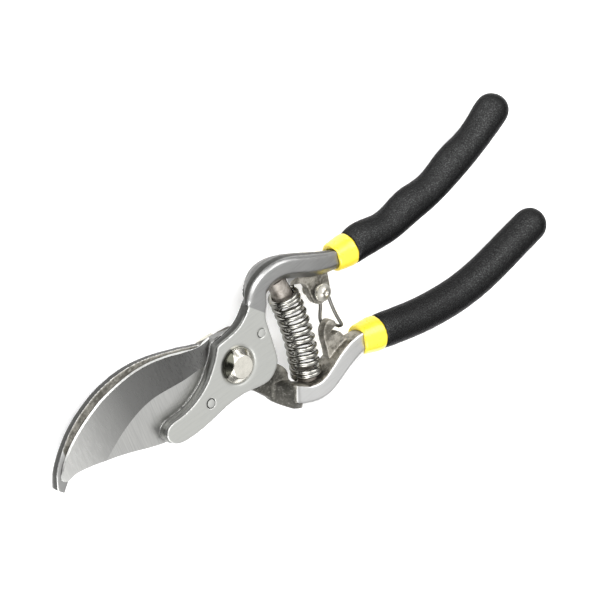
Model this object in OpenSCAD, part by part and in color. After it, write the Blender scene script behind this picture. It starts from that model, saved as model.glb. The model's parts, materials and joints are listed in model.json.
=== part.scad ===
// Bypass pruner with forged handles, a riveted blade and a wire latch.
// Units are millimetres. The Z axis is the pivot axis, and the nut's outer
// face is at z = 0. The jaws point to -X and the grips to +X.

/* [Pivot] */
// Radius of the pivot bolt's shank
bolt_r = 4; // [3.5:0.05:4.5]
// Radius of the bolt head
head_r = 6.4; // [5.5:0.1:7]
// Height of the bolt head above the front plate
head_h = 3; // [2:0.1:4]
// Nut size across flats
nut_af = 13; // [11:0.5:14]
// Nut height
nut_h = 4.5; // [3:0.1:6]
// Spring lock washer thickness
washer_t = 1; // [0.6:0.1:1.6]

/* [Plates] */
// Thickness of the hook plate
hook_t = 4.95; // [4:0.05:6]
// Thickness of the blade
blade_t = 3.2; // [2.5:0.1:4]
// Thickness of the front plate over the blade
cheek_t = 5; // [4:0.1:6]
// Radius of the flush rivets that hold the blade
rivet_r = 1.5; // [1.2:0.1:2]
// Width of the fine second bevel at the cutting edge
micro_w = 0.45; // [0.3:0.05:1.4]

/* [Spring] */
// Spring wire diameter
spring_wire = 1.9; // [1.4:0.1:2]
// Spring outside diameter
spring_od = 11.4; // [10:0.1:12]
// Number of turns
spring_turns = 12.5; // [9:0.5:15]

/* [Latch] */
// Latch wire diameter
latch_wire_d = 1.3; // [1.2:0.1:2]
// Radius of the latch rivet's shank
latch_pin_r = 1.6; // [1.2:0.1:2]
// Radius of the latch rivet's head
latch_head_r = 3; // [2.5:0.1:3.5]

/* [Grips] */
// Half width of a grip across the handle
grip_a = 6.3; // [5.5:0.1:7]
// Half thickness of a grip along the pivot axis
grip_b = 6.1; // [5.5:0.1:7]
// Height of the finger waves on the upper grip
wave_h = 0.7; // [0:0.1:1.2]

/* [Hidden] */
$fn = 64;
gap = 0.05;
z_hook = nut_h + washer_t;
z_blade = z_hook + hook_t + gap;
z_cheek = z_blade + blade_t;
z_front = z_cheek + cheek_t;
z_head = z_front - 0.4 + gap;
z_mid = 12.1;
wire_r = latch_wire_d / 2;
lug_z0 = 10.2;
lug_z1 = 13.8;
eye_gap = 0.3;
eye_r = latch_pin_r + gap + wire_r;
front_eye_z = lug_z1 + eye_gap + wire_r;
back_eye_z = lug_z0 - eye_gap - wire_r;
latch_washer_t = 0.6;
latch_pin = [42.9, 2.3];
bar_xy = [45.95, -14.6];

// Points along a smooth open curve through p.
function cr(a, b, c, d, t) =
  0.5 * (2 * b + (c - a) * t + (2 * a - 5 * b + 4 * c - d) * t * t
  + (3 * b - a - 3 * c + d) * t * t * t);
function curve(p, n = 4) = concat(
  [for (i = [0 : len(p) - 2], k = [0 : n - 1])
    cr(p[max(i - 1, 0)], p[i], p[i + 1], p[min(i + 2, len(p) - 1)], k / n)],
  [p[len(p) - 1]]);

// Solid through a list of rings that all have the same number of points.
function ones(r) = [for (p = r) 1];
function middle(r) = ones(r) * r / len(r);
function ring_turn(r) =
  let (c = middle(r), n = len(r), v = [for (i = [0 : n - 1]) cross(r[i] - c, r[(i + 1) % n] - c)])
  ones(v) * v;
module loft(rings) {
  n = len(rings[0]);
  m = len(rings);
  h = floor(m / 2);
  forward = middle(rings[h]) - middle(rings[h - 1]);
  flip = ring_turn(rings[h]) * forward > 0;
  sides = [for (j = [0 : m - 2], i = [0 : n - 1])
    each [[j * n + i, j * n + (i + 1) % n, (j + 1) * n + (i + 1) % n],
      [j * n + i, (j + 1) * n + (i + 1) % n, (j + 1) * n + i]]];
  first = [for (i = [n - 1 : -1 : 0]) i];
  last = [for (i = [0 : n - 1]) (m - 1) * n + i];
  use_rings = flip ? [for (r = rings) [for (i = [n - 1 : -1 : 0]) r[i]]] : rings;
  polyhedron([for (r = use_rings, p = r) p], concat(sides, [first, last]), 4);
}

// Round wire along a path of 3-D points.
function unit(v) = v / norm(v);
function tangent(p, i) = unit(p[min(i + 1, len(p) - 1)] - p[max(i - 1, 0)]);
function wire_ring(c, t, up, r, n) =
  let (s = unit(cross(t, up)), u = cross(s, t))
  [for (k = [0 : n - 1]) c + r * (cos(360 * k / n) * s + sin(360 * k / n) * u)];
module wire(p, r, up, n = 10) {
  loft([for (i = [0 : len(p) - 1]) wire_ring(p[i], tangent(p, i), up[i], r, n)]);
}

// ---- handle centre lines inside the grips: [x, y, half width, half depth] ----
upper_line = [[57.5, 8.5, 3.7, 4], [64, 8.3, 3.6, 3.9], [72, 7.7, 3.5, 3.8],
  [80, 7.2, 3.5, 3.8], [90, 8.1, 3.5, 3.8], [100, 9.1, 3.5, 3.7],
  [110, 11, 3.4, 3.6], [120, 13.6, 3.3, 3.4], [128, 16.2, 3, 3]];
lower_line = [[57, -25.9, 3.9, 4.1], [64, -27.9, 3.8, 4], [72, -30.1, 3.6, 3.9],
  [80, -32, 3.5, 3.8], [90, -33.6, 3.5, 3.8], [100, -34.3, 3.5, 3.7],
  [110, -33.9, 3.4, 3.6], [120, -32.5, 3.3, 3.4], [128, -31, 3, 3]];
upper_grip_line = [[59.5, 8.2], [66, 8.2], [73, 7.6], [80, 7.2], [90, 8.1],
  [100, 9], [110, 11], [120, 13.6], [130, 16.9], [139.5, 20.5], [145, 22.7]];
lower_grip_line = [[58.5, -26.3], [64, -27.9], [72, -30.1], [80, -32], [90, -33.6],
  [100, -34.3], [110, -33.9], [120, -32.5], [130, -30.7], [139, -29.2],
  [145.6, -28.2]];

// ---- arm stations: [outer x, y], [inner x, y], z low, z high, lean ----
// Lean is how far the outer side draws in towards the back.
upper_arm = [
  [[11.5, 17.1], [17.4, 10.4], 13.7, 18.7, 0], [[13.2, 19.6], [18.8, 12.8], 8, 18.7, 4.5],
  [[15.8, 22.2], [20.8, 14.9], 6.8, 18.7, 3.5], [[19.3, 24], [23.4, 16.1], 6.2, 18.7, 2.5],
  [[23.5, 25], [26.3, 16.6], 6, 18.7, 1.6], [[28, 25], [29, 16.3], 6, 18.7, 1.3],
  [[32.5, 24.1], [31.6, 15.2], 6, 18.6, 1.2], [[37, 22.1], [34.6, 13.6], 6, 18.4, 1.2],
  [[41.5, 19.6], [38.4, 11.3], 6.2, 18.1, 1], [[46, 17.1], [42.8, 9], 6.8, 17.6, 1],
  [[50.3, 14.7], [47.7, 7.2], 7.6, 16.9, 0.8], [[54.3, 12.9], [52.9, 5.8], 8.2, 16.1, 0.6]];
lower_arm = [
  [[12.4, -18.4], [10.9, -23.6], 6, 10.45, 0], [[14.6, -19.6], [12, -26], 6, 11.2, 0],
  [[17.8, -20.2], [14.2, -28.5], 6, 18, 0], [[19.6, -21.2], [16.8, -30.5], 6, 18.4, 0],
  [[23.6, -24.2], [23, -33.1], 6, 18.4, 0], [[27.7, -25.4], [27.7, -34], 6, 18.4, 0],
  [[31.2, -25], [32.3, -33.8], 6, 18.3, 0], [[34.8, -23.7], [37, -32.5], 6, 18.1, 0],
  [[38.2, -22.4], [41.2, -31.2], 6.4, 17.8, 0], [[42.2, -21.1], [45.2, -30.2], 6.8, 17.4, 0],
  [[46.6, -20.4], [49, -29.6], 7.4, 16.8, 0], [[51.5, -20.6], [52.8, -29.2], 8, 16.2, 0]];

// One ring of an arm. A leaning outer side has a broad shoulder, a plain one is crisp.
function arm_ring(s) =
  let (o = s[0], i = s[1], z0 = s[2], z1 = s[3], e = s[4] / norm(s[1] - s[0]), h = z1 - z0,
    w = i - o, k = min(s[4], 1))
  [for (q = [[0.1 + 0.1 * k, 1], [0.7, 1], [1, 0.8], [1, 0.35], [0.82, 0.08], [0.6, 0],
    [0.32 + e, 0], [0.1 + e, 0.16], [0.02 + e * 0.5, 0.45], [0, 0.8 - 0.06 * k],
    [0.03 + 0.03 * k, 0.95 - 0.04 * k]])
    [o[0] + w[0] * q[0], o[1] + w[1] * q[0], z0 + h * q[1]]];
// One ring of the bar inside a grip.
function bar_ring(c, t) =
  let (n = [-t[1], t[0]])
  [for (q = [[0.7, 1], [-0.45, 1], [-1, 0.6], [-1, -0.3], [-0.7, -0.85], [-0.3, -1],
    [0.3, -1], [0.7, -0.85], [1, -0.3], [1, 0.5], [0.92, 0.88]])
    [c[0] + n[0] * c[2] * q[0], c[1] + n[1] * c[2] * q[0], z_mid + c[3] * q[1]]];
function flat_tangent(p, i) =
  let (d = p[min(i + 1, len(p) - 1)] - p[max(i - 1, 0)], l = norm([d[0], d[1]]))
  [d[0] / l, d[1] / l];
function smooth_arm(a) =
  let (o = curve([for (s = a) s[0]], 2), i = curve([for (s = a) s[1]], 2),
    z = curve([for (s = a) [s[2], s[3], s[4]]], 2))
  [for (k = [0 : len(o) - 1]) [o[k], i[k], z[k][0], z[k][1], max(z[k][2], 0)]];
module arm_bar(arm, bar) {
  loft(concat([for (s = smooth_arm(arm)) arm_ring(s)],
    [for (k = [0 : len(bar) - 1]) bar_ring(bar[k], flat_tangent(bar, k))]));
}

// ---- outlines ----
cheek_outline = concat(
  curve([[21, 18.5], [14.5, 18], [9.5, 14.6], [6, 12.6], [2, 11.7], [-4.4, 11.2]]),
  curve([[-5, 11], [-6.4, 9.1], [-8.3, 6.7], [-10.9, 4.1], [-13.8, 1.6], [-17.5, -0.5],
    [-22, -2.2], [-27, -3], [-31.5, -3], [-34.4, -4.1], [-35.8, -6.8], [-35, -9.4],
    [-33.2, -11.1], [-30.5, -12.1], [-26, -12.5], [-21, -12.3], [-15, -11.6],
    [-8.3, -10.7], [-2, -10.9], [2, -11.7], [6, -12.5], [9, -12.6], [11.4, -11.6],
    [13.6, -9.8], [15, -7.8], [15.6, -5], [16, 0], [16.3, 4.5], [16.5, 8], [17.2, 10.4],
    [19, 13]]));
blade_outline = concat(
  curve([[16, 5], [15, 7.6], [11.5, 8.5], [7, 9.2], [2.6, 10.4], [-0.8, 11.3], [-4.2, 11.5],
    [-6.8, 10.9], [-9.5, 11.3],
    [-14, 13], [-20, 15.2], [-26, 16.8], [-31.5, 17.6], [-37, 17.7], [-43, 17.1],
    [-49.5, 15.9], [-55, 13.9], [-60, 11.7], [-64.5, 9.2], [-68.5, 6.3], [-71.3, 3.5],
    [-73.4, 0.6]], 3),
  curve([[-73.6, -0.6], [-72.7, -1.5], [-71.2, -1.6], [-68.4, -0.9], [-63.5, -1.3],
    [-58, -2.5], [-52, -4.2], [-46, -6.4], [-40, -8.8], [-33, -11], [-26, -11.6],
    [-17, -11.2], [-9, -10.2], [-2, -10.4], [4, -11], [9, -10.6], [13, -8], [15, -3],
    [15.8, 1]], 3));
// Where the ground bevel starts on the blade's face, and the edge beyond it.
bevel_top = curve([[-9.4, 4.9], [-13.2, 5], [-18, 5], [-22.5, 5.4], [-27.5, 6], [-32, 6.3], [-36.5, 5.9],
  [-41, 4.9], [-45, 3.5], [-49, 1.8], [-53, -0.3], [-57, -2.6], [-61, -6], [-64, -10],
  [-66, -13]], 5);
bevel_edge = curve([[-2.6, 11.45], [-7.4, 11.2], [-14, 13], [-20, 15.2], [-26, 16.8], [-31.5, 17.6],
  [-37, 17.7], [-43, 17.1], [-49.5, 15.9], [-55, 13.9], [-60, 11.7], [-64.5, 9.2],
  [-69.5, 5.4], [-72.8, 1.6], [-73.9, -1.9]], 5);
// Hook stations: outer edge and inner edge from the root to the tip.
hook_outer = curve([[11.5, 7.5], [6, 9.3], [0, 9.9], [-6, 10.7], [-14, 14], [-20.4, 16.4],
  [-26, 18.2], [-31.8, 19.5], [-36.6, 20], [-41, 20], [-45.5, 19.5], [-50, 18.6],
  [-55, 16.9], [-60, 14.7], [-64.7, 11.8], [-68.6, 8.6], [-71.8, 5.4], [-74.4, 2],
  [-76.3, -3]], 2);
hook_inner = curve([[9, -7], [2, -10], [-6, -9.4], [-11, -6], [-14, -1.5], [-19, 3.2],
  [-24.5, 6.7], [-30, 9.2], [-35.6, 10.6], [-41, 10.9], [-46, 10.4], [-50.5, 9.2],
  [-55, 7.6], [-59, 5.8], [-62.8, 3.8], [-66, 1.6], [-69, -0.9], [-71.8, -3.2],
  [-74.2, -5.6]], 2);
function hook_ring(o, i) =
  let (w = i - o, z1 = z_hook + hook_t)
  [for (q = [[0, 0], [1, 0], [1, 3.2], [0.74, hook_t], [0.28, hook_t], [0, 2.6]])
    [o[0] + w[0] * q[0], o[1] + w[1] * q[0], z1 - q[1]]];
shank_outline = curve([[-6, 9.8], [0, 8.7], [6, 7.8], [10.3, 6.8], [13, 3.2], [14.2, -2],
  [15.6, -8], [17.8, -12.6], [20.4, -15.8], [21.6, -19], [21, -22], [22.5, -26.5],
  [21, -31], [17, -29.8], [12.6, -25.6], [10.2, -22.3], [8, -19.3], [5.6, -16.6],
  [1, -13.6], [-4, -11.4], [-9, -8.4], [-11.5, -4], [-12, 2], [-10, 8]], 3);
catch_outline = concat(
  curve([[36.6, -24], [37.6, -20], [38, -16], [38.7, -12.8], [40.2, -10.9], [42.4, -9.9],
    [44, -10.5], [45, -12], [45.1, -13.1]]),
  [[44.4, -13.6]],
  curve([[43.2, -13.75], [42.4, -13.95], [41.9, -14.6], [42, -15.4], [42.6, -15.95],
    [43.5, -16], [44.6, -15.9], [45.6, -16.9], [46.2, -18.6], [46.6, -22], [45, -26]]));
lug_outline = concat(
  curve([[29.5, 20], [30.5, 13], [32.6, 11], [35, 10], [37, 9], [38.4, 7.8], [39.1, 6],
    [39.2, 3.2], [39.5, 0.2], [40.7, -1.9], [42.9, -2.7], [45.8, -1.8], [47.8, 0.6], [48.6, 4], [49, 7.5],
    [48, 12]]));

module hook_handle() {
  color([0.62, 0.63, 0.64]) difference() {
    union() {
      translate([0, 0, z_hook]) linear_extrude(hook_t) polygon(shank_outline);
      loft([for (k = [0 : len(hook_outer) - 1]) hook_ring(hook_outer[k], hook_inner[k])]);
      arm_bar(lower_arm, lower_line);
      translate([0, 0, lug_z0]) linear_extrude(lug_z1 - lug_z0) polygon(catch_outline);
    }
    translate([0, 0, -1]) cylinder(h = 30, r = bolt_r + 0.02);
    lower_seat();
  }
}

// ---- spring seats: short pegs sunk into the arms ----
upper_seat_a = [28.6, 18.4, z_mid];
upper_seat_b = [29.9, 5.6, z_mid];
lower_seat_a = [26.4, -27.6, z_mid];
lower_seat_b = [27.6, -21.2, z_mid];
module along(a, b) {
  d = b - a;
  translate(a) rotate([0, 0, atan2(d[1], d[0])]) rotate([0, 90, 0]) children();
}
module seat_solid(a, b, collar) {
  l = norm(b - a);
  along(a, b) rotate_extrude()
    polygon([[0, 0], [2.4, 0], [2.4, collar], [3.5, collar], [3.5, l - 0.8],
      [2.9, l], [0, l]]);
}
module upper_seat() {
  seat_solid(upper_seat_a, upper_seat_b, 2.6);
}
module lower_seat() {
  seat_solid(lower_seat_a, lower_seat_b, 2.4);
}
module upper_spring_seat() {
  color([0.42, 0.39, 0.36]) upper_seat();
}
module lower_spring_seat() {
  color([0.42, 0.39, 0.36]) lower_seat();
}

module blade_handle() {
  color([0.66, 0.67, 0.68]) difference() {
    union() {
      translate([0, 0, z_cheek]) linear_extrude(cheek_t) polygon(cheek_outline);
      arm_bar(upper_arm, upper_line);
      translate([0, 0, lug_z0]) linear_extrude(lug_z1 - lug_z0) polygon(lug_outline);
    }
    translate([0, 0, -1]) cylinder(h = 30, r = bolt_r + gap);
    translate([0, 0, -1]) cylinder(h = z_cheek + 1, r = 16);
    translate([0, 0, z_front - 0.4]) cylinder(h = 5, r = 7.25);
    blade_rivet_holes();
    translate([latch_pin[0], latch_pin[1], 0]) cylinder(h = 20, r = latch_pin_r);
    upper_seat();
  }
}

module blade_rivet_holes() {
  for (p = [[12.9, 5.1], [-15.3, -5.8]])
    translate([p[0], p[1], z_blade - 1]) cylinder(h = 20, r = rivet_r);
}
module blade() {
  n = len(bevel_top) - 1;
  color([0.72, 0.73, 0.75]) difference() {
    translate([0, 0, z_blade]) linear_extrude(blade_t) polygon(blade_outline);
    // The ground bevel, with a finer one along the edge.
    loft([for (k = [0 : n])
      let (t = bevel_top[k], e = bevel_edge[k], d = unit(e - t), l = norm(e - t),
        m = t + d * (l - micro_w), f = e + d * 9)
      [[t[0], t[1], z_cheek], [t[0], t[1], z_cheek + 3], [f[0], f[1], z_cheek + 3],
        [f[0], f[1], z_blade + 0.15], [e[0], e[1], z_blade + 0.15],
        [m[0], m[1], z_blade + 0.75]]]);
    translate([0, 0, -1]) cylinder(h = 30, r = bolt_r + gap);
    blade_rivet_holes();
  }
}
module upper_blade_rivet() {
  color([0.7, 0.7, 0.7]) translate([12.9, 5.1, z_blade + 0.1])
    cylinder(h = z_front - z_blade - 0.1, r = rivet_r);
}
module lower_blade_rivet() {
  color([0.7, 0.7, 0.7]) translate([-15.3, -5.8, z_blade + 0.1])
    cylinder(h = z_front - z_blade - 0.1, r = rivet_r);
}

module pivot_bolt() {
  t = z_head + head_h;
  color([0.8, 0.78, 0.72]) rotate_extrude()
    polygon([[0, 0.4], [bolt_r - 0.6, 0.4], [bolt_r, 1], [bolt_r, z_head],
      [head_r, z_head], [head_r, z_head + 0.6], [head_r - 0.3, z_head + 0.9],
      [head_r - 2.1, t - 0.25], [head_r - 2.5, t], [0, t]]);
}
module pivot_nut() {
  color([0.75, 0.74, 0.7]) difference() {
    intersection() {
      cylinder(h = nut_h, r = nut_af / sqrt(3), $fn = 6);
      rotate_extrude() polygon([[0, 0], [nut_af / 2 - 0.2, 0], [nut_af / 2 + 1.1, 0.8],
        [nut_af / 2 + 1.1, nut_h], [0, nut_h]]);
    }
    translate([0, 0, -1]) cylinder(h = nut_h + 2, r = bolt_r + 0.02);
  }
}
module lock_washer() {
  color([0.6, 0.6, 0.6]) translate([0, 0, nut_h]) difference() {
    cylinder(h = washer_t, r = 6.9);
    translate([0, 0, -1]) cylinder(h = washer_t + 2, r = bolt_r + 0.1);
    rotate([0, 0, 205]) translate([3, -0.4, -1]) cube([5, 0.8, washer_t + 2]);
  }
}

// ---- spring: a coil whose centre line bows round the pivot ----
spring_line = curve([[29.5, 11.8], [29.9, 6], [30.1, 0], [29.9, -6.5], [29.1, -13],
  [28.1, -18.6], [27.1, -24.2]], 8);
function at(p, u) =
  let (x = u * (len(p) - 1), i = min(floor(x), len(p) - 2), f = x - i)
  p[i] * (1 - f) + p[i + 1] * f;
// Turns packed close at both ends and spaced between them.
function pitch_map(u) =
  let (c = 0.045, v = 1.6 / spring_turns)
  u < v ? c * u / v : u > 1 - v ? 1 - c * (1 - u) / v
  : c + (1 - 2 * c) * (u - v) / (1 - 2 * v);
module main_spring() {
  seg = 16;
  n = floor(spring_turns * seg);
  r = (spring_od - spring_wire) / 2;
  lo = 0.097;
  span = 0.856;
  p = [for (k = [0 : n])
    let (u = lo + span * pitch_map(k / n), c = at(spring_line, u),
      e = at(spring_line, min(u + 0.01, 1)) - at(spring_line, max(u - 0.01, 0)),
      t = unit([e[0], e[1]]), q = 360 * k / seg)
    [c[0] - t[1] * r * cos(q), c[1] + t[0] * r * cos(q), z_mid - r * sin(q)]];
  up = [for (k = [0 : n])
    let (u = lo + span * pitch_map(k / n), c = at(spring_line, u))
    p[k] - [c[0], c[1], z_mid]];
  color([0.78, 0.76, 0.7]) wire(p, spring_wire / 2, up, 8);
}

// ---- latch ----
module latch_rivet() {
  z0 = back_eye_z - wire_r - eye_gap;
  z1 = front_eye_z + wire_r + eye_gap + latch_washer_t;
  color([0.8, 0.77, 0.68]) translate([latch_pin[0], latch_pin[1], 0]) rotate_extrude()
    polygon([[0, z0 - 1.5], [1.8, z0 - 1.5], [latch_head_r - 0.3, z0 - 0.9],
      [latch_head_r - 0.3, z0], [latch_pin_r, z0], [latch_pin_r, z1], [latch_head_r, z1],
      [latch_head_r, z1 + 0.7], [2.3, z1 + 1.5], [1, z1 + 1.7], [0.8, z1 + 1.2],
      [0, z1 + 1]]);
}
module latch_washer() {
  z1 = front_eye_z + wire_r + eye_gap;
  color([0.7, 0.68, 0.62]) translate([latch_pin[0], latch_pin[1], z1]) difference() {
    cylinder(h = latch_washer_t, r = 3.2);
    translate([0, 0, -1]) cylinder(h = 3, r = latch_pin_r);
  }
}
module latch_wire() {
  zf = front_eye_z;
  zb = back_eye_z;
  a = latch_pin + [eye_r, 0];
  front = curve([[a[0], a[1] + 0.4, zf], [a[0] + 0.05, a[1] - 2.5, zf],
    [45.15, -4.2, zf + 0.1], [45.35, -8.1, zf + 0.1], [46, -12, zf],
    [46.4, -14, zf - 0.3], [bar_xy[0], bar_xy[1], zf - 1.7]], 3);
  back = curve([[bar_xy[0], bar_xy[1], zb + 1.7], [45.6, -15, zb + 0.4],
    [44.2, -14.7, zb], [42.3, -12.4, zb - 0.1], [42.2, -9.6, zb - 0.1],
    [44.2, -5.4, zb], [a[0] - 0.05, a[1] - 2.6, zb], [a[0], a[1] + 0.4, zb]], 3);
  path = concat(front, back);
  color([0.55, 0.54, 0.52]) union() {
    wire(path, wire_r, [for (p = path) [1, 0.15, 0]]);
    for (z = [zf, zb])
      translate([latch_pin[0], latch_pin[1], z]) rotate_extrude()
        translate([eye_r, 0]) circle(wire_r, $fn = 32);
  }
}

// ---- grips ----
module sleeve(a, b, r0, r1) {
  l = norm(b - a);
  along(a, b) rotate_extrude()
    polygon([[0, 0], [r0 - 0.5, 0], [r0, 0.6], [r0 + (r1 - r0) * 0.5, l * 0.42],
      [r1, l * 0.75], [r1, l], [r1 - 1, l], [r1 - 1, l + 5], [0, l + 5]]);
}
module upper_sleeve() {
  sleeve([53.3, 9.3, z_mid], [61.2, 8.4, z_mid], 5.3, 6.0);
}
module lower_sleeve() {
  sleeve([51.4, -24.6, z_mid], [60.2, -26.9, z_mid], 5.6, 6.45);
}
module upper_collar() {
  color([0.95, 0.85, 0.1]) difference() {
    upper_sleeve();
    arm_bar(upper_arm, upper_line);
  }
}
module lower_collar() {
  color([0.95, 0.85, 0.1]) difference() {
    lower_sleeve();
    arm_bar(lower_arm, lower_line);
  }
}
function grip_ring(c, t, ao, ai, b) =
  let (n = [-t[1], t[0]])
  [for (k = [0 : 23])
    let (q = 15 * k, a = cos(q) > 0 ? ao : ai)
    [c[0] + n[0] * a * cos(q), c[1] + n[1] * a * cos(q), z_mid + b * sin(q)]];
function end_scale(s) = s < 0 ? 0.2 : sqrt(1 - pow(min(max(1 - s, 0), 1), 2));
module grip_body(line, wave, more) {
  p = curve(line, 4);
  n = len(p) - 1;
  last = p[n];
  loft([for (k = [0 : n])
    let (c = p[k], t = flat_tangent(p, k), d = norm(last - c),
      e = max(end_scale(d / 6.4), 0.12), f = 0.94 + 0.06 * min(k / 4, 1),
      w = wave * (cos(360 * (c[0] - 67) / 24)) * (k < 3 ? 0 : 1))
    grip_ring(c, t, (grip_a + more + w) * e * f, (grip_a + more) * e * f,
      (grip_b + more) * e * f)]);
}
module upper_grip() {
  color([0.09, 0.09, 0.1]) difference() {
    grip_body(upper_grip_line, wave_h, 0);
    arm_bar(upper_arm, upper_line);
    upper_sleeve();
  }
}
module lower_grip() {
  color([0.09, 0.09, 0.1]) difference() {
    grip_body(lower_grip_line, 0, 0.3);
    arm_bar(lower_arm, lower_line);
    lower_sleeve();
  }
}

hook_handle();
blade_handle();
blade();
upper_blade_rivet();
lower_blade_rivet();
pivot_bolt();
pivot_nut();
lock_washer();
main_spring();
upper_spring_seat();
lower_spring_seat();
latch_rivet();
latch_washer();
latch_wire();
upper_collar();
lower_collar();
upper_grip();
lower_grip();
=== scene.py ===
"""Bypass pruner: the looks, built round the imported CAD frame.

The jaws point to -X, the grips to +X, and the pivot's axis is +Z through the
origin. Lengths are in millimetres unless a comment says otherwise; MM turns them
into the frame's metres.
"""
import json
import math

import bpy
import bmesh
import numpy as np
from mathutils import Matrix, Vector


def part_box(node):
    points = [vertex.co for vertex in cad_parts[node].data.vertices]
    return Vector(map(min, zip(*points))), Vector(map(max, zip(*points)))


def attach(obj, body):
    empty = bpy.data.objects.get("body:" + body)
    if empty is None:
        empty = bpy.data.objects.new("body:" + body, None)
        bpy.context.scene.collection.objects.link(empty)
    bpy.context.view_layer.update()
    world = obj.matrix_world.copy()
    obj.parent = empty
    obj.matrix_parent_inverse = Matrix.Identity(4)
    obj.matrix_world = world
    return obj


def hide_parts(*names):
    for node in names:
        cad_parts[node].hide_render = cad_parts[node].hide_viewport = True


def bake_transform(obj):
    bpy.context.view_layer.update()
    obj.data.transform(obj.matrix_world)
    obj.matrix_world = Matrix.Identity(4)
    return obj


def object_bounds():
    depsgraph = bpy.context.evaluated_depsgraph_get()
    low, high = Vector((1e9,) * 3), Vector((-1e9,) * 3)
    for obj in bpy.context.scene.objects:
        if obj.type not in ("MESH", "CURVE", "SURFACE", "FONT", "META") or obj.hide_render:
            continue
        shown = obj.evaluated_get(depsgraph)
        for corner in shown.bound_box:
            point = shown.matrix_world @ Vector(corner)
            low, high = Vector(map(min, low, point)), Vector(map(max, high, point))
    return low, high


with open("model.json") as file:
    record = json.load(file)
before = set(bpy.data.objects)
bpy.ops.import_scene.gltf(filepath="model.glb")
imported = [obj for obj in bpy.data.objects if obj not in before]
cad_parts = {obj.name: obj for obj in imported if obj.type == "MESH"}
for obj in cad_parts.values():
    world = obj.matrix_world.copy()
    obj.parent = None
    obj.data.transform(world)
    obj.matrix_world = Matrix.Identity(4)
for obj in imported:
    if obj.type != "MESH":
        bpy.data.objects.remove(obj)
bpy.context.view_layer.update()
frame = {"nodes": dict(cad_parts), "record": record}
MM = 0.001
VOXEL = 0.32  # remesh size for the forgings
BODY = {n: b for b, nodes in frame["record"]["behaviour"]["bodies"].items() for n in nodes}
SLOT = {s["node"]: s["material_slot"] for s in frame["record"]["subparts"]}

# Heights of the layers: the blade's face, the front plate's, and the arms' middle.
Z_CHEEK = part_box("blade")[1][2] / MM
Z_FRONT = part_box("upper_blade_rivet")[1][2] / MM
Z_MID = 12.1
# Where scale on the latch lug and catch gives way to the arms' buffed fronts.
LUG_TOP = (14.2, 15)
DENT = 0.05  # how deep the forging's scale is pitted


# ---------------------------------------------------------------- shapes
def link(obj):
    """Puts an object in the scene."""
    bpy.context.scene.collection.objects.link(obj)
    return obj


def spline(points, n):
    """Points along a smooth open curve through the given ones."""
    p = [np.array(q, float) for q in points]
    out = []
    for i in range(len(p) - 1):
        a, b, c, d = p[max(i - 1, 0)], p[i], p[i + 1], p[min(i + 2, len(p) - 1)]
        for k in range(n):
            t = k / n
            out.append(0.5 * (2 * b + (c - a) * t + (2 * a - 5 * b + 4 * c - d) * t * t
                              + (3 * b - a - 3 * c + d) * t ** 3))
    out.append(p[-1])
    return np.array(out)


def mesh_of(name, verts, faces):
    """A smooth-shaded object from points in millimetres, faces turned outwards."""
    me = bpy.data.meshes.new(name)
    me.from_pydata([tuple(float(c) * MM for c in v) for v in verts], [], faces)
    me.validate()
    bm = bmesh.new()
    bm.from_mesh(me)
    bmesh.ops.recalc_face_normals(bm, faces=bm.faces)
    bm.to_mesh(me)
    bm.free()
    me.polygons.foreach_set("use_smooth", [True] * len(me.polygons))
    return link(bpy.data.objects.new(name, me))


def loft(name, rings):
    """A closed skin through rings with equal point counts, capped at both ends."""
    m, n = len(rings), len(rings[0])
    verts = [v for r in rings for v in r]
    faces = [(j * n + i, j * n + (i + 1) % n, (j + 1) * n + (i + 1) % n, (j + 1) * n + i)
             for j in range(m - 1) for i in range(n)]
    faces += [tuple(range(n)), tuple(range((m - 1) * n, m * n))]
    return mesh_of(name, verts, faces)


def tube(name, path, ups, radius, sides):
    """A round wire along a path; ups keeps its rings from twisting."""
    rings = []
    for k, c in enumerate(path):
        t = path[min(k + 1, len(path) - 1)] - path[max(k - 1, 0)]
        t /= np.linalg.norm(t)
        s = np.cross(t, ups[k])
        s /= np.linalg.norm(s)
        u = np.cross(s, t)
        q = np.linspace(0, 2 * math.pi, sides, endpoint=False)
        rings.append([c + radius * (math.cos(a) * s + math.sin(a) * u) for a in q])
    return loft(name, rings)


def lathe(name, profile, at, sides):
    """A body of revolution about +Z through at, from (radius, height) pairs."""
    q = np.linspace(0, 2 * math.pi, sides, endpoint=False)
    return loft(name, [[(at[0] + r * math.cos(a), at[1] + r * math.sin(a), z) for a in q]
                       for r, z in profile])


def weld(me, reach):
    """Joins points closer than reach, in metres."""
    bm = bmesh.new()
    bm.from_mesh(me)
    bmesh.ops.remove_doubles(bm, verts=bm.verts, dist=reach)
    bmesh.ops.recalc_face_normals(bm, faces=bm.faces)
    bm.to_mesh(me)
    bm.free()


def copy_of(node):
    """A welded copy of a CAD node's mesh, which may be reshaped."""
    me = frame["nodes"][node].data.copy()
    me.materials.clear()
    if me.has_custom_normals:
        me.normals_split_custom_set([(0, 0, 0)] * len(me.loops))
    weld(me, 2e-6)
    return link(bpy.data.objects.new(node + "_look", me))


def applied(obj):
    """The object with its modifiers made real."""
    deps = bpy.context.evaluated_depsgraph_get()
    me = bpy.data.meshes.new_from_object(obj.evaluated_get(deps))
    obj.modifiers.clear()
    obj.data = me
    return obj


def smooth_by_angle(obj, degrees):
    """Smooth shading, with edges sharper than the angle left crisp."""
    me = obj.data
    me.polygons.foreach_set("use_smooth", [True] * len(me.polygons))
    bm = bmesh.new()
    bm.from_mesh(me)
    limit = math.radians(degrees)
    for e in bm.edges:
        e.smooth = len(e.link_faces) == 2 and e.calc_face_angle(0) < limit
    bm.to_mesh(me)
    bm.free()
    return obj


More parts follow.
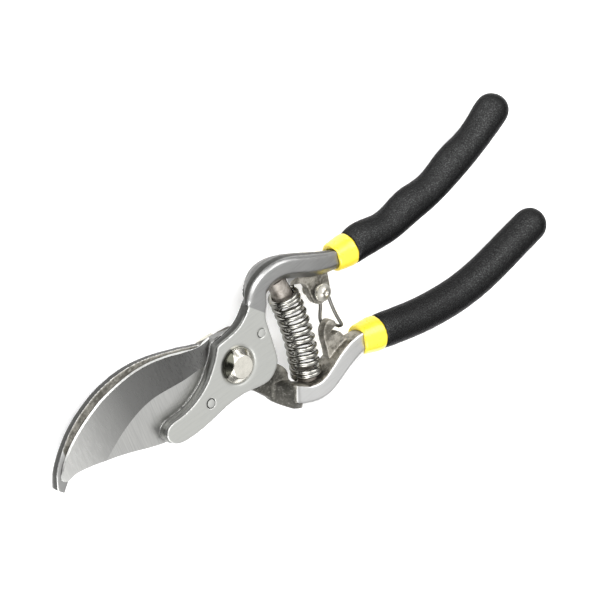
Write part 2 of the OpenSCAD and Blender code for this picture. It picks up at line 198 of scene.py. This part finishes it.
def bevelled(obj, width):
    """The object with its sharp edges rounded."""
    b = obj.modifiers.new("bevel", "BEVEL")
    b.width = width * MM
    b.segments = 3
    b.limit_method = "ANGLE"
    b.angle_limit = math.radians(35)
    b.harden_normals = False
    return smooth_by_angle(applied(obj), 50)


def coords(me):
    """A mesh's points as an array, in metres."""
    co = np.empty(len(me.vertices) * 3)
    me.vertices.foreach_get("co", co)
    return co.reshape(-1, 3)


def put(me, co):
    me.vertices.foreach_set("co", co.ravel())
    me.update()


def normals(me):
    no = np.empty(len(me.vertices) * 3, np.float32)
    me.vertex_normals.foreach_get("vector", no)
    return no.reshape(-1, 3).astype(float)


def neighbours_mean(me, co):
    """Each point's neighbours' average."""
    e = np.empty(len(me.edges) * 2, np.int64)
    me.edges.foreach_get("vertices", e)
    a, b = e[::2], e[1::2]
    n = len(co)
    deg = np.maximum(np.bincount(a, minlength=n) + np.bincount(b, minlength=n), 1)
    out = np.empty_like(co)
    for k in range(co.shape[1]):
        out[:, k] = (np.bincount(a, co[b, k], n) + np.bincount(b, co[a, k], n)) / deg
    return out


def relax(me, steps):
    """Moves every point half-way to its neighbours' average, steps times."""
    co = coords(me)
    for _ in range(steps):
        co += 0.5 * (neighbours_mean(me, co) - co)
    put(me, co)


def paint(me, name, values):
    """Stores a 0 to 1 value on each point, for a material to read."""
    layer = me.attributes.new(name, "FLOAT", "POINT")
    layer.data.foreach_set("value", np.clip(values, 0, 1).astype(np.float32))


def step(x, lo, hi):
    """0 below lo, 1 above hi and smooth between."""
    t = np.clip((x - lo) / (hi - lo), 0, 1)
    return t * t * (3 - 2 * t)


def lumps(p, size, seed):
    """Cheap smooth value noise over points, in -1 to 1, made from turned sines."""
    rng = np.random.default_rng(seed)
    out = np.zeros(len(p))
    for k in range(9):
        d = rng.normal(size=3)
        d /= np.linalg.norm(d)
        out += np.sin(p @ d * (2 * math.pi / size) * rng.uniform(0.7, 1.5) + rng.uniform(0, 6.3))
    return out / 5


# ---------------------------------------------------------------- materials
class Shader:
    """A Principled material with a few short-hands for its node graph.

    Noise scales are per metre, so 1000 gives features of about a millimetre.
    """

    def __init__(self, name, **sockets):
        self.m = bpy.data.materials.new(name)
        self.m.use_nodes = True
        self.t = self.m.node_tree
        self.p = self.t.nodes["Principled BSDF"]
        for k, v in sockets.items():
            self.p.inputs[k.replace("_", " ")].default_value = v
        self.where = self.node("ShaderNodeTexCoord").outputs["Object"]

    def node(self, kind, **props):
        n = self.t.nodes.new(kind)
        for k, v in props.items():
            setattr(n, k, v)
        return n

    def join(self, a, b):
        self.t.links.new(a, b)

    def scaled(self, sx, sy, sz, turn=0.0):
        n = self.node("ShaderNodeMapping")
        n.inputs["Scale"].default_value = (sx, sy, sz)
        n.inputs["Rotation"].default_value = (0, 0, turn)
        self.join(self.where, n.inputs["Vector"])
        return n.outputs["Vector"]

    def noise(self, scale, detail=4, rough=0.6, where=None):
        n = self.node("ShaderNodeTexNoise")
        n.inputs["Scale"].default_value = scale
        n.inputs["Detail"].default_value = detail
        n.inputs["Roughness"].default_value = rough
        self.join(where or self.where, n.inputs["Vector"])
        return n.outputs["Fac"]

    def cells(self, scale):
        n = self.node("ShaderNodeTexVoronoi")
        n.inputs["Scale"].default_value = scale
        self.join(self.where, n.inputs["Vector"])
        return n.outputs["Distance"]

    def along(self, direction):
        """How far a point lies along a direction, in metres."""
        n = self.node("ShaderNodeVectorMath", operation="DOT_PRODUCT")
        self.join(self.where, n.inputs[0])
        n.inputs[1].default_value = direction
        return n.outputs["Value"]

    def attribute(self, name):
        return self.node("ShaderNodeAttribute", attribute_name=name).outputs["Fac"]

    def math(self, op, a, b):
        n = self.node("ShaderNodeMath", operation=op)
        for socket, v in zip(n.inputs, (a, b)):
            if isinstance(v, (int, float)):
                socket.default_value = v
            else:
                self.join(v, socket)
        return n.outputs[0]

    def remap(self, v, lo, hi, to_lo=0.0, to_hi=1.0):
        n = self.node("ShaderNodeMapRange", interpolation_type="SMOOTHSTEP")
        n.inputs["From Min"].default_value = lo
        n.inputs["From Max"].default_value = hi
        n.inputs["To Min"].default_value = to_lo
        n.inputs["To Max"].default_value = to_hi
        self.join(v, n.inputs["Value"])
        return n.outputs["Result"]

    def mix(self, f, a, b):
        """Colour mix; a and b are sockets or colours."""
        n = self.node("ShaderNodeMix", data_type="RGBA")
        if isinstance(f, (int, float)):
            n.inputs[0].default_value = f
        else:
            self.join(f, n.inputs[0])
        for i, v in ((6, a), (7, b)):
            if isinstance(v, tuple):
                n.inputs[i].default_value = (*v, 1)
            else:
                self.join(v, n.inputs[i])
        return n.outputs[2]

    def bump(self, height, depth, strength=1.0, under=None):
        n = self.node("ShaderNodeBump")
        n.inputs["Distance"].default_value = depth * MM
        n.inputs["Strength"].default_value = strength
        self.join(height, n.inputs["Height"])
        if under is not None:
            self.join(under, n.inputs["Normal"])
        return n.outputs["Normal"]

    @staticmethod
    def stops(ramp, count):
        """The ramp's stops, with enough of them added."""
        elements = ramp.color_ramp.elements
        while len(elements) < count:
            elements.new(0.5)
        return elements

    def set(self, **sockets):
        for k, v in sockets.items():
            self.join(v, self.p.inputs[k.replace("_", " ")])
        return self.m


def forged_steel(name, satin, ground, wall_shade_tone):
    """Satin steel where it was buffed, dark scale where the forging was left rough, painted shade
    on the side walls and a painted highlight mixed with wear on proud edges.
    """
    s = Shader(name, Metallic=1.0)
    patches = s.noise(260, 6, 0.7)
    speckle = s.noise(1100, 4, 0.7)
    ragged = s.math("MULTIPLY", s.math("SUBTRACT", s.noise(420, 5), 0.5), 0.55)
    scale = s.remap(s.math("ADD", s.attribute("forged"), ragged), 0.35, 0.65)
    hair = s.noise(700, 3, 0.7, s.scaled(0.14, 1.5, 1.0, 0.35))
    arm = s.mix(s.noise(70, 3), tuple(c * 0.88 for c in satin), tuple(c * 1.12 for c in satin))
    arm = s.mix(s.remap(hair, 0.35, 0.75, 0, 0.4), arm, tuple(c * 0.7 for c in satin))
    # The ground cheek ends at a straight line across the root of the arm.
    cheek = s.remap(s.along(GROUND_DIR), (GROUND_END - 0.2) * MM, (GROUND_END + 0.2) * MM, 1, 0)
    stone = s.mix(s.remap(hair, 0.35, 0.75, 0, 0.3), ground, tuple(c * 0.8 for c in ground))
    colour = s.mix(cheek, arm, stone)
    # Painted shade: the side walls marked on each forging take this dark tone.
    side = s.mix(s.remap(speckle, 0.3, 0.7), tuple(c * 0.75 for c in wall_shade_tone), wall_shade_tone)
    colour = s.mix(s.attribute("wall_shade"), colour, side)
    rust = s.mix(s.remap(patches, 0.4, 0.62), (0.14, 0.132, 0.112), (0.40, 0.38, 0.335))
    rust = s.mix(s.attribute("darker_scale"), rust, (0.055, 0.054, 0.048))
    rust = s.mix(s.remap(speckle, 0.5, 0.75, 0, 0.6), rust, (0.42, 0.41, 0.37))
    colour = s.mix(scale, colour, rust)
    # Proud edges lighten: partly wear, partly a painted highlight.
    worn_edge_and_highlight = s.remap(s.attribute("edge"), 0.35, 1.0, 0, 0.5)
    colour = s.mix(worn_edge_and_highlight, colour, (0.84, 0.84, 0.82))
    rough = s.mix(scale, s.remap(hair, 0.3, 0.7, 0.28, 0.42), s.remap(patches, 0.3, 0.7, 0.42, 0.6))
    # Brushed lines on the buffed steel, pits in the scale.
    relief = s.node("ShaderNodeMix", data_type="VECTOR")
    s.join(scale, relief.inputs[0])
    s.join(s.bump(hair, 0.012, 0.3), relief.inputs[4])
    s.join(s.bump(s.noise(900, 6, 0.7), 0.15, 0.9), relief.inputs[5])
    return s.set(Base_Color=colour, Roughness=rough, Normal=relief.outputs[1])


def blade_steel():
    """Cross-ground flats, a finer and darker hollow bevel, a bright honed edge."""
    s = Shader("blade_steel_look", Metallic=1.0)
    lines = s.noise(1500, 3, 0.6, s.scaled(1.6, 0.06, 1.0, -0.25))
    fine = s.noise(1500, 2, 0.6, s.scaled(1.0, 0.09, 1.0, 0.1))
    x = s.node("ShaderNodeSeparateXYZ")
    s.join(s.where, x.inputs[0])
    flat = s.mix(s.remap(lines, 0.3, 0.75), (0.47, 0.47, 0.455), (0.39, 0.39, 0.38))
    # Painted shading: the hollow bevel lightens from the heel to the tip.
    tone = s.node("ShaderNodeValToRGB")
    s.join(s.remap(x.outputs["X"], -0.015, -0.075), tone.inputs[0])
    for e, (at, v) in zip(s.stops(tone, 4), ((0.0, 0.085), (0.4, 0.16), (0.7, 0.31), (1.0, 0.55))):
        e.position = at
        e.color = (v, v, v * 0.97, 1)
    ground = s.mix(s.remap(fine, 0.35, 0.65, 0, 0.2), tone.outputs[0], (0.14, 0.14, 0.137))
    bevel = s.attribute("bevel")
    colour = s.mix(bevel, flat, ground)
    colour = s.mix(s.attribute("honed"), colour, (0.78, 0.78, 0.76))
    colour = s.mix(s.attribute("side"), colour, (0.20, 0.20, 0.195))
    rough = s.mix(bevel, s.remap(lines, 0.3, 0.7, 0.3, 0.44), s.remap(fine, 0.3, 0.7, 0.26, 0.34))
    return s.set(Base_Color=colour, Roughness=rough, Normal=s.bump(lines, 0.012, 0.35))


def plated(name, warm, rough, painted_dark_side=False):
    """Plated or drawn steel with a faint haze and fine pits."""
    s = Shader(name, Metallic=1.0)
    haze = s.noise(320, 4)
    dots = s.noise(1400, 3)
    dull = tuple(c * 0.72 for c in warm)
    colour = s.mix(s.remap(haze, 0.4, 0.75, 0, 0.5), warm, dull)
    r = s.remap(haze, 0.3, 0.75, rough, rough + 0.16)
    if painted_dark_side:
        # A painted reflection: one side of the bolt's cone darkened.
        dark_side = s.remap(s.along(DARK_SIDE_DIR), DARK_SIDE_FROM * MM, (DARK_SIDE_FROM + 0.6) * MM)
        colour = s.mix(dark_side, colour, (0.05, 0.05, 0.04))
    return s.set(Base_Color=colour, Roughness=r, Normal=s.bump(dots, 0.004, 0.3))


def dark_steel():
    """The spring seats' brown, rough steel."""
    s = Shader("dark_steel_look", Metallic=0.75)
    a = s.noise(300, 6, 0.7)
    colour = s.mix(s.remap(a, 0.35, 0.7), (0.17, 0.15, 0.13), (0.40, 0.37, 0.335))
    return s.set(Base_Color=colour, Roughness=s.remap(a, 0.3, 0.7, 0.4, 0.6),
                 Normal=s.bump(s.noise(800, 5, 0.7), 0.14, 0.9))


def yellow_vinyl():
    """Thick glossy vinyl, a little translucent, deeper in tone in small spots."""
    s = Shader("yellow_vinyl_look", Coat_Weight=0.35, Coat_Roughness=0.12,
               Specular_IOR_Level=0.5, Subsurface_Weight=0.12)
    s.p.inputs["Subsurface Radius"].default_value = (0.002, 0.0014, 0.0003)
    a = s.noise(60, 3)
    colour = s.mix(a, (0.70, 0.54, 0.025), (0.76, 0.60, 0.04))
    spots = s.remap(s.noise(900, 4), 0.62, 0.78, 0, 0.4)
    colour = s.mix(spots, colour, (0.80, 0.58, 0.01))
    return s.set(Base_Color=colour, Roughness=s.remap(s.noise(500, 4), 0.3, 0.7, 0.26, 0.4),
                 Normal=s.bump(s.noise(350, 3), 0.05, 0.5))


def black_vinyl():
    """Fine-grained, with a painted sheen where seen face on, dull towards the outline."""
    s = Shader("black_vinyl_look")
    grain = s.cells(1700)
    cloud = s.noise(2500, 3, 0.8)
    facing = s.node("ShaderNodeLayerWeight").outputs["Facing"]
    # Painted sheen: the grain's light specks show most where the surface faces the viewer.
    speck_and_sheen = s.math("MULTIPLY", s.remap(cloud, 0.5, 0.66), s.remap(facing, 0.03, 0.4, 1, 0.12))
    colour = s.mix(speck_and_sheen, (0.002, 0.002, 0.0022), (0.07, 0.073, 0.072))
    s.join(s.remap(facing, 0.05, 0.5, 0.24, 0.04), s.p.inputs["Specular IOR Level"])
    rough = s.remap(cloud, 0.3, 0.7, 0.26, 0.46)
    normal = s.bump(grain, 0.1, 0.9, s.bump(cloud, 0.14, 1.0))
    return s.set(Base_Color=colour, Roughness=rough, Normal=normal)


# The line where the ground cheek ends: its normal, and its distance from the pivot.
GROUND_DIR = (0.75, 0.661, 0)
GROUND_END = 19.93
# The painted dark side of the bolt's head: its direction from the axis, and where it starts.
DARK_SIDE_DIR = (-0.795, 0.607, 0)
DARK_SIDE_FROM = 3.75
HOOK_STEEL = forged_steel("hook_steel_look", (0.60, 0.60, 0.59), (0.60, 0.60, 0.59),
                          (0.05, 0.05, 0.048))
LOOKS = {
    "forged_steel": forged_steel("blade_arm_steel_look", (0.32, 0.32, 0.315), (0.51, 0.515, 0.49),
                                 (0.05, 0.05, 0.047)),
    "blade_steel": blade_steel(),
    "rivet_steel": plated("rivet_steel_look", (0.545, 0.55, 0.525), 0.3),
    "bolt_nickel": plated("bolt_nickel_look", (0.70, 0.68, 0.61), 0.13, painted_dark_side=True),
    "nickel_plate": plated("nickel_plate_look", (0.70, 0.68, 0.61), 0.13),
    "spring_steel": plated("spring_steel_look", (0.30, 0.295, 0.27), 0.14),
    "worn_nickel": plated("worn_nickel_look", (0.46, 0.445, 0.40), 0.3),
    "dark_steel": dark_steel(),
    "wire_steel": plated("wire_steel_look", (0.17, 0.165, 0.15), 0.3),
    "yellow_vinyl": yellow_vinyl(),
    "black_vinyl": black_vinyl(),
}


def dress(obj, node, look=None):
    """Gives a piece its CAD node's finish and body, and hides that node."""
    obj.data.materials.clear()
    obj.data.materials.append(look or LOOKS[SLOT[node]])
    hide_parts(node)
    if node != "main_spring":
        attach(obj, BODY[node])
    return obj


# ---------------------------------------------------------------- forgings
def softened(node, voxel, steps):
    """The CAD piece with its edges rounded as tumbling, buffing or dipping leaves them."""
    o = copy_of(node)
    r = o.modifiers.new("remesh", "REMESH")
    r.mode = "VOXEL"
    r.voxel_size = voxel * MM
    applied(o)
    relax(o.data, steps)
    return o


def edge_map(me):
    """How far each point stands proud of its surroundings, in 0 to 1."""
    co = coords(me)
    no = normals(me)
    far = co
    for _ in range(3):
        far = neighbours_mean(me, far)
    proud = ((co - far) * no).sum(1) / MM
    return step(proud, 0.015, 0.09)


def around(node, x, y, near, far):
    """1 on and beside an upright round part, fading to 0 a little outside it."""
    low, high = (np.array(c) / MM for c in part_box(node))
    middle, r = (low + high) / 2, (high[0] - low[0]) / 2
    return 1 - step(np.hypot(x - middle[0], y - middle[1]), r + near, r + far)


def hook_forging():
    """The hook and lower arm: buffed in front, dark at the root, rough inside."""
    o = softened("hook_handle", VOXEL, 6)
    me = o.data
    p, n = coords(me) / MM, normals(me)
    x, y, z = p.T
    # The arm's polished front starts at the top of the riser.
    up = n[:, 2]
    plate = (1 - step(z, 10.6, 11.6)) * step(up, 0.2, 0.6)
    arm = np.maximum(step(z, 16, 17.5) * step(up, 0.85, 0.95) * step(x, 13, 14),
                     step(x, 17.5, 19) * (1 - plate))
    inner = step(n[:, 1], 0.35, 0.6) * (1 - step(up, 0.6, 0.8)) * step(x, 15, 17)
    catch = step(y, -23.5, -21.5) * step(x, 33, 36) * (1 - step(z, *LUG_TOP))
    root = (1 - arm) * step(x, -9, -5)
    jaw = (1 - step(x, -9, -5)) * step(x, -70.5, -67.5) * step(up, 0.5, 0.8)
    scale = np.maximum.reduce([inner, catch, root])
    lift = 0.6 * lumps(p, 2.6, 3) + 0.4 * lumps(p, 1.2, 4)
    put(me, (p + n * (DENT * scale * lift)[:, None]) * MM)
    paint(me, "forged", np.maximum(scale, 0.9 * jaw))
    # The scale darker at the root and, less, along the jaw.
    paint(me, "darker_scale", np.maximum(0.85 * root * (1 - step(x, 17, 21)), 0.5 * jaw))
    # Painted shade: the side walls darker, less so on the arm, and the hook's tip half darkened.
    side = (1 - step(up, 0.35, 0.7)) * (1 - 0.75 * arm)
    paint(me, "wall_shade", np.maximum(side, 0.5 * (1 - step(x, -71, -66))))
    # The edges' wear and painted highlight show less in the dark root, on the catch and along the
    # hook.
    quiet = np.maximum.reduce([0.75 * root * (1 - step(x, 20, 24)), 0.45 * catch,
                               0.45 * (1 - step(x, -8, -4))])
    paint(me, "edge", edge_map(me) * (1 - quiet))
    return dress(o, "hook_handle", HOOK_STEEL)


def blade_forging():
    """The front plate and upper arm, with the latch lug."""
    o = softened("blade_handle", VOXEL, 6)
    me = o.data
    p, n = coords(me) / MM, normals(me)
    x, y, z = p.T
    # The front plate's rim is a soft bead.
    rim = ((1 - step(x, 8, 13)) * step(z, Z_CHEEK - 0.2, Z_CHEEK)
           * (1 - step(abs(n[:, 2]), 0.5, 0.85)))
    rim *= step(np.hypot(x, y), 8.2, 8.8)
    middle = (Z_CHEEK + Z_FRONT) / 2
    half = (Z_FRONT - Z_CHEEK) / 2
    p = p - n * (rim * 0.85 * np.clip((z - middle) / half, -1, 1) ** 2)[:, None]
    put(me, p * MM)
    relax(me, 2)
    p, n = coords(me) / MM, normals(me)
    x, y, z = p.T
    lug = (step(x, 32.5, 34) * (1 - step(x, 49.5, 51)) * (1 - step(y, 11.5, 13))
           * (1 - step(z, *LUG_TOP)))
    inner = (1 - step(n[:, 1], -0.75, -0.45)) * (1 - step(n[:, 2], 0.2, 0.45)) * step(x, 21, 24)
    scale = np.maximum(lug, inner)
    lift = 0.6 * lumps(p, 2.6, 5) + 0.4 * lumps(p, 1.2, 6)
    put(me, (p + n * (DENT * scale * lift)[:, None]) * MM)
    paint(me, "forged", np.maximum(scale, 1 - step(n[:, 2], -0.9, -0.6)))
    paint(me, "darker_scale", np.zeros(len(p)))
    # Painted shadow and dirt darken a ring round the bolt and the rivets, and painted shade darkens
    # the plate's side walls, reaching further up them but less deep along the jaw.
    jaw_rim = 1 - step(x, -7, -3)
    shadow_and_dirt = around("pivot_bolt", x, y, 0.1, 0.6)
    for rivet in ("upper_blade_rivet", "lower_blade_rivet"):
        shadow_and_dirt = np.maximum(shadow_and_dirt, around(rivet, x, y, 0.05, 0.35))
    wall_shade = (1 - step(n[:, 2], 0.3 + 0.15 * jaw_rim, 0.6 + 0.25 * jaw_rim)) * (1 - 0.25 * jaw_rim)
    paint(me, "wall_shade", np.maximum(wall_shade, 0.65 * shadow_and_dirt))
    paint(me, "edge", edge_map(me) * (1 - 0.45 * lug) * (1 - shadow_and_dirt))
    return dress(o, "blade_handle")


# ---------------------------------------------------------------- blade
def blade_piece():
    """The CAD blade with its flats, bevel, honed edge and sides told apart."""
    o = copy_of("blade")
    me = o.data
    bm = bmesh.new()
    bm.from_mesh(me)
    bm.normal_update()

    def kind(f):
        """0 a flat, 1 the hollow bevel, 2 the honed edge, 3 a side."""
        if f.normal.z > 0.9995:
            return 0
        if f.normal.z > 0.88:
            return 1
        if f.normal.z > 0.2:
            return 2
        return 3

    kinds = [kind(f) for f in bm.faces]
    for e in bm.edges:
        a = [kinds[f.index] for f in e.link_faces]
        e.smooth = len(a) == 2 and a[0] == a[1] and e.calc_face_angle(0) < 0.5
    for k, name in enumerate(("bevel", "honed", "side"), 1):
        layer = bm.loops.layers.float.new(name)
        for f in bm.faces:
            for loop in f.loops:
                loop[layer] = float(kinds[f.index] == k)
    bm.to_mesh(me)
    bm.free()
    me.polygons.foreach_set("use_smooth", [True] * len(me.polygons))
    return dress(o, "blade")


# ---------------------------------------------------------------- spring and wire
# The coil's bowed middle line, and the part of it that the wire takes up.
SPRING_LINE = [[29.5, 11.8], [29.9, 6], [30.1, 0], [29.9, -6.5], [29.1, -13],
               [28.1, -18.6], [27.1, -24.2]]
SPRING_FROM, SPRING_SPAN = 0.097, 0.856
TURNS, WIRE, COIL = 12.5, 1.9, 11.4
PER_TURN = 44  # rings of the wire's mesh in each turn


def spring_piece():
    """The coil, closed up over its last turns, with one end on each handle."""
    line = spline(SPRING_LINE, 24)
    n = int(TURNS * PER_TURN)
    r = (COIL - WIRE) / 2
    # Each end's closed turns: their share of the length, and of the wire.
    tight, end = 0.045, 1.6 / TURNS
    path, ups = [], []
    for k in range(n + 1):
        u = k / n
        if u < end:
            v = tight * u / end
        elif u > 1 - end:
            v = 1 - tight * (1 - u) / end
        else:
            v = tight + (1 - 2 * tight) * (u - end) / (1 - 2 * end)
        w = (SPRING_FROM + SPRING_SPAN * v) * (len(line) - 1)
        i = min(int(w), len(line) - 2)
        c = line[i] * (1 - w + i) + line[i + 1] * (w - i)
        t = line[i + 1] - line[i]
        t = t / np.linalg.norm(t)
        q = 2 * math.pi * k / PER_TURN
        at = np.array([c[0] - t[1] * r * math.cos(q), c[1] + t[0] * r * math.cos(q),
                       Z_MID - r * math.sin(q)])
        path.append(at)
        ups.append(at - np.array([c[0], c[1], Z_MID]))
    o = tube("main_spring_look", path, ups, WIRE / 2, 16)
    dress(o, "main_spring", LOOKS["spring_steel"])
    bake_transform(o)
    return o


# ---------------------------------------------------------------- grips
def grip_piece(node):
    """A dipped sleeve: smooth, with the slow unevenness of a thick coat."""
    o = softened(node, 0.5, 14)
    p, n = coords(o.data) / MM, normals(o.data)
    put(o.data, (p + n * (0.03 * lumps(p, 5, 11) + 0.02 * lumps(p, 1.7, 12))[:, None]) * MM)
    return dress(o, node)


# ---------------------------------------------------------------- small parts
def bolt_piece():
    """The shank and the head, a wide cone up to a flat."""
    z0 = Z_FRONT - 0.35
    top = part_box("pivot_bolt")[1][2] / MM
    r = 6.4  # of the head; the shank's is 4
    profile = [(3.4, 0.4), (4, 1), (4, z0), (r - 0.15, z0), (r, z0 + 0.15), (r, z0 + 0.5),
               (r - 0.08, z0 + 0.72)]
    foot, crown = np.array([r - 0.35, z0 + 0.98]), np.array([r - 2.2, top - 0.14])
    profile += [tuple(foot + (crown - foot) * k / 8) for k in range(9)]
    profile += [(r - 2.35, top - 0.04), (r - 2.6, top - 0.01), (r - 3, top), (2, top), (0.8, top)]
    o = lathe("pivot_bolt_look", profile, (0, 0), 128)
    smooth_by_angle(o, 28)
    return dress(o, "pivot_bolt", LOOKS["bolt_nickel"])


def latch_rivet_piece():
    """The shank with a small back head and a domed front head with a dimple."""
    low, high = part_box("latch_rivet")
    x, y = (low[0] + high[0]) / 2 / MM, (low[1] + high[1]) / 2 / MM
    back, top = low[2] / MM, high[2] / MM
    r = (high[0] - low[0]) / 2 / MM
    profile = [(0.5, back), (1.6, back + 0.03), (2.3, back + 0.35), (r - 0.3, back + 0.8),
               (r - 0.3, back + 1.4), (1.6, back + 1.5), (1.6, top - 1.7), (r - 0.1, top - 1.7),
               (r, top - 1.6), (r, top - 1.15)]
    profile += [(r - 2 * math.sin(q), top - 1.15 + 1.15 * (1 - math.cos(q)) ** 0.75)
                for q in np.linspace(0.15, math.pi / 2, 12)]
    profile += [(0.85, top - 0.03), (0.7, top - 0.2), (0.5, top - 0.45), (0.2, top - 0.6)]
    o = lathe("latch_rivet_look", profile, (x, y), 72)
    smooth_by_angle(o, 50)
    return dress(o, "latch_rivet", LOOKS["worn_nickel"])


def simple_piece(node):
    """A small turned or stamped part with its edges just broken."""
    return dress(bevelled(copy_of(node), 0.06), node)


# ---------------------------------------------------------------- camera and set
def set_camera():
    """Above the jaws, looking across the tool to the grips."""
    tilt, swing, roll = math.radians(40), math.radians(18), math.radians(35.9)
    flat = math.sin(tilt)
    n = Vector((flat * math.cos(swing), -flat * math.sin(swing), math.cos(tilt)))
    a, b = math.cos(roll), math.sin(roll)
    right = Vector((a, b, -(n.x * a + n.y * b) / n.z)).normalized()
    turn = Matrix((right, n.cross(right), n))
    # Where the top of the bolt's shoulder lies in the camera's own axes, in metres.
    shoulder, seen_at = Vector((0, 0, 0.0187)), Vector((-0.02082, -0.02235, -0.9))
    cam = link(bpy.data.objects.new("camera", bpy.data.cameras.new("camera")))
    spot = shoulder - turn @ seen_at
    cam.matrix_world = Matrix.Translation(spot) @ turn.to_4x4()
    cam.data.sensor_width = 36
    cam.data.lens = 158.2
    cam.data.clip_start = 0.01
    bpy.context.scene.camera = cam


DARK_END = (-0.5, 0.5, 0.62)  # towards the unlit end of the room
LIGHTS_AIM = (0.03, 0, 0.01)  # metres, near the middle of the tool


def set_stage():
    """A pale floor, a room that is bright overhead, and three soft lights."""
    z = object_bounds()[0][2] - 0.0002
    half = 3.0  # metres
    me = bpy.data.meshes.new("floor")
    corners = [(-half, -half, z), (half, -half, z), (half, half, z), (-half, half, z)]
    me.from_pydata(corners, [], [(0, 1, 2, 3)])
    floor = link(bpy.data.objects.new("floor", me))
    pale = Shader("floor_pale", Roughness=0.9, Specular_IOR_Level=0.1)
    pale.p.inputs["Base Color"].default_value = (0.94, 0.94, 0.94, 1)
    # A faint glow, as of a lit table, thins the shadows.
    pale.p.inputs["Emission Color"].default_value = (1, 1, 1, 1)
    pale.p.inputs["Emission Strength"].default_value = 0.22
    me.materials.append(pale.m)
    world = bpy.data.worlds.new("studio")
    bpy.context.scene.world = world
    world.use_nodes = True
    t = world.node_tree
    way = t.nodes.new("ShaderNodeTexCoord").outputs["Generated"]
    split = t.nodes.new("ShaderNodeSeparateXYZ")
    ramp = t.nodes.new("ShaderNodeValToRGB")
    t.links.new(way, split.inputs[0])
    t.links.new(split.outputs["Z"], ramp.inputs[0])
    stops = ((0.0, 0.12), (0.25, 0.2), (0.6, 0.9), (0.85, 1.2), (1.0, 1.15))
    for e, (at, v) in zip(Shader.stops(ramp, len(stops)), stops):
        e.position = at
        e.color = (v, v, v, 1)
    # The unlit end of the room lies behind the viewer.
    dot = t.nodes.new("ShaderNodeVectorMath")
    dot.operation = "DOT_PRODUCT"
    t.links.new(way, dot.inputs[0])
    dot.inputs[1].default_value = Vector(DARK_END).normalized()
    gap = t.nodes.new("ShaderNodeMapRange")
    gap.interpolation_type = "SMOOTHSTEP"
    for name, v in (("From Min", 0.74), ("From Max", 0.95), ("To Min", 1.0), ("To Max", 0.08)):
        gap.inputs[name].default_value = v
    t.links.new(dot.outputs["Value"], gap.inputs["Value"])
    t.links.new(ramp.outputs[0], t.nodes["Background"].inputs["Color"])
    t.links.new(gap.outputs["Result"], t.nodes["Background"].inputs["Strength"])
    area("key", (-0.2, 0.75, 0.75), 0.8, 12)
    area("fill", (-0.65, -0.45, 0.8), 0.7, 9)
    area("rim", (0.85, 0.65, 0.9), 0.8, 9)


def area(name, at, size, power):
    """A square soft light; at and size in metres, power in watts."""
    data = bpy.data.lights.new(name, "AREA")
    data.size = size
    data.energy = power
    o = link(bpy.data.objects.new(name, data))
    aim = (Vector(at) - Vector(LIGHTS_AIM)).to_track_quat("Z", "Y").to_matrix().to_4x4()
    o.matrix_world = Matrix.Translation(at) @ aim


set_camera()
hook_forging()
blade_forging()
blade_piece()
spring_piece()
grip_piece("upper_grip")
grip_piece("lower_grip")
bolt_piece()
latch_rivet_piece()
for small in ("upper_blade_rivet", "lower_blade_rivet", "pivot_nut", "lock_washer", "latch_washer"):
    simple_piece(small)
for small in ("upper_spring_seat", "lower_spring_seat", "upper_collar", "lower_collar"):
    dress(softened(small, 0.22, 6), small)
dress(softened("latch_wire", 0.11, 5), "latch_wire")
set_stage()
bpy.context.scene.view_settings.view_transform = "Standard"
